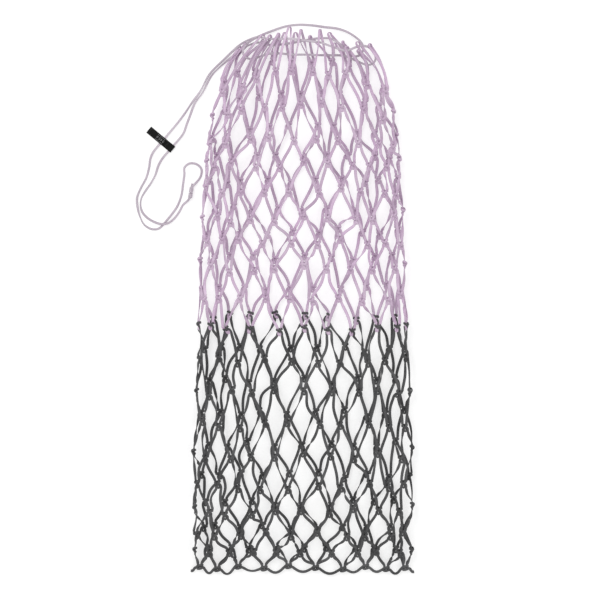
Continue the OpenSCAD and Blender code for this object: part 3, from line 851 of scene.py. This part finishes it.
def make_round(name, uppers, lowers, bars, lay, chance):
    """One round of the net as one closed length of braid."""
    way = walk(uppers, lowers, bars)
    mouth, closing = name == COURSES[0], name == COURSES[-1]
    if mouth:
        for turn in uppers:
            tilt = math.radians(chance.uniform(*LOOP_LEAN))
            turn.face(np.array([-math.sin(tilt), 0.0, math.cos(tilt)]))
    blocks = []
    for (upper, leaves), (lower, meets) in way:
        blocks.append(uppers[upper].placed(BEND if mouth else WRAP, leaves == 0))
        blocks.append(lowers[lower].placed(LACED_LOOP if closing else LOOP, meets == 1))
    lilac = name.startswith("lilac")
    rows = knit(blocks, chance, lay, HALF_TURNS)
    piece = sweep(f"twine_{name}", rows, BRAID, LILAC if lilac else CHARCOAL, closed=True)
    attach(piece, "net")
    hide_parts(name)


def make_rounds():
    """Every round from the mouth to the bottom edge."""
    solids = {name: shapes(name) for name in COURSES}
    bars = {
        name: [
            bar_ends(solid)
            for solid in solids[name]
            if len(solid) == BAR_CORNERS and not is_bend(solid)
        ]
        for name in COURSES
    }
    bends = [solid.mean(axis=0) for solid in solids[COURSES[0]] if is_bend(solid)]
    rings = {}
    for name in COURSES[1:]:
        tops = [top for top, bottom in bars[name]]
        rings[name] = read_ring(knot_middles(solids[name]), tops, random.Random(name))
    for n, name in enumerate(COURSES):
        lay = LILAC_LAY if name.startswith("lilac") else CHARCOAL_LAY
        if n == 0:
            lay = MOUTH_LAY
            uppers = [Turn(at, SKYWARD, BEND_SPLIT, -BEND_REACH) for at in bends]
        else:
            uppers = [Turn(at, side, SLOT, -KNOT_REACH, spin) for at, side, spin in rings[name]]
        if name == COURSES[-1]:
            lowers = lacing_turns()
        else:
            ring = rings[COURSES[n + 1]]
            lowers = [Turn(at, side, SLOT, KNOT_REACH, spin) for at, side, spin in ring]
        make_round(name, uppers, lowers, bars[name], lay, random.Random(n + FIRST_SEED))


# As the forms above, in the lacing's own knots
LACING_WRAP = [
    (-5.8, -0.4, 0.6, 0, 0, 1, 4.4, 1.6), (-3.2, 2.4, 3.5, 0, 0.2, 1, 4, 1.9),
    (2.6, 3.5, 3.6, 0, 0.2, 1, 4, 1.9), (5.2, 3, 0, 1, 0, 0, 4, 1.9),
    (2.8, 1.8, -3.6, 0, 0, -1, 4, 1.9), (-2.8, 0.2, -3.6, 0, 0, -1, 4, 1.9),
    (-5.2, -1.2, 0, -1, 0, 0, 4, 1.9), (-2.8, -2.6, 3.5, 0, -0.2, 1, 4, 1.9),
    (2.6, -1.8, 3.6, 0, -0.2, 1, 4, 1.9), (5.8, -0.8, 0.6, 0, 0, 1, 4.4, 1.6),
]


# The lacing past its first and last knots, in millimetres outward, towards the mouth and up
LACING_TAIL = [(8, -1.5, -0.4), (10, -4.5, -2), (12.5, -7, -3.6), (15, -7, -4.4)]
LACING_W, LACING_T = 4.6 * MM, 1.6 * MM
LACING_SEED = 5
# How far from a knot's middle the slack starts, how far it sags and how far below the knots
SLACK_FROM, SLACK, SLACK_DROP = 6.5 * MM, (5.5 * MM, 10.5 * MM), 1.2 * MM
SLACK_TONE, SLACK_TILT = (0.9, 1.08), (-0.9, 0.9)


def make_lacing():
    """The braid that laces the bottom edge, knotted round each gathering and slack between."""
    chance = random.Random(LACING_SEED)
    knots = sorted(knot_middles(shapes("bottom_lacing")), key=lambda at: at[0])
    rows = []

    def add(at, face, tone=1.0):
        rows.append(np.array([[*at, *unit(face), LACING_W, LACING_T, tone]]))

    for out, towards, up in LACING_TAIL[::-1]:
        add(knots[0] + np.array([-out, towards, up]) * MM, (0.2, 0.2, 1))
    for n, at in enumerate(knots):
        block = Turn(at, RIGHT, SLOT, 0).placed(LACING_WRAP, False)
        rows.append(np.column_stack([block, np.full(len(block), KNOT_TONE)]))
        if n + 1 == len(knots):
            break
        start, end = at + RIGHT * SLACK_FROM, knots[n + 1] - RIGHT * SLACK_FROM
        sag = chance.uniform(*SLACK)
        tone = chance.uniform(*SLACK_TONE)
        tilt = chance.uniform(*SLACK_TILT)
        for t in (0.12, 0.3, 0.5, 0.7, 0.88):
            dip = math.sin(math.pi * t) ** 0.8
            low = start + (end - start) * t - UP * sag * dip - SKYWARD * SLACK_DROP * dip
            add(low, (0, -tilt * dip, 1), tone)
    for out, towards, up in LACING_TAIL:
        add(knots[-1] + np.array([out, towards, up]) * MM, (-0.2, 0.2, 1))
    piece = sweep("twine_bottom_lacing", smooth(np.concatenate(rows), BRAID_STEP), BRAID, CHARCOAL)
    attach(piece, "net")
    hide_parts("bottom_lacing")


make_rounds()
make_lacing()

# ---------------------------------------------------------------- floor and light

FLOOR_HALF = 6.0
# The floor is a lit table, so the shadows on it are faint
FLOOR_GLOW = 0.58
SKY_LIGHT = 0.62
WHITE = (1.0, 1.0, 1.0, 1.0)
# Name, place, size and power of each soft box
LAMPS = [("key", (-1.4, 1.6, 2.6), 2.0, 42.0), ("fill", (1.8, -1.2, 2.4), 2.4, 22.0)]


def make_floor():
    """A plain pale floor, faintly mottled."""
    mesh = bpy.data.meshes.new("floor")
    signs = ((-1, -1), (1, -1), (1, 1), (-1, 1))
    mesh.from_pydata([(x * FLOOR_HALF, y * FLOOR_HALF, 0) for x, y in signs], [], [(0, 1, 2, 3)])
    kit = Shader("floor", 0.9, 0.0, 0.1)
    kit.surface.inputs["Emission Color"].default_value = WHITE
    kit.surface.inputs["Emission Strength"].default_value = FLOOR_GLOW
    mottle = kit.noise(kit.place(), 9.0, 3.0)
    body = kit.mix(mottle, colour(0.74, 0.74, 0.74), colour(0.75, 0.75, 0.75))
    mesh.materials.append(kit.finish(body, kit.range(mottle, 0.3, 0.7, 0.85, 0.95), mottle, 0.05, 0.1 * MM))
    floor = bpy.data.objects.new("floor", mesh)
    bpy.context.collection.objects.link(floor)


def make_lamp(name, at, size, power):
    """A square soft box at a place, facing the middle of the net."""
    data = bpy.data.lights.new(name, "AREA")
    data.size, data.energy = size, power
    lamp = bpy.data.objects.new(name, data)
    lamp.location = at
    away = np.array(at) / np.linalg.norm(at)
    lamp.rotation_euler = (math.acos(away[2]), 0.0, math.atan2(away[1], away[0]) + math.pi / 2)
    bpy.context.collection.objects.link(lamp)


def make_light():
    """A white sky and two soft boxes, shown without a film look so that white stays white."""
    world = bpy.data.worlds.new("studio")
    world.use_nodes = True
    sky = world.node_tree.nodes["Background"]
    sky.inputs["Color"].default_value = WHITE
    sky.inputs["Strength"].default_value = SKY_LIGHT
    bpy.context.scene.world = world
    for lamp in LAMPS:
        make_lamp(*lamp)
    bpy.context.scene.view_settings.view_transform = "Standard"


make_floor()
make_light()
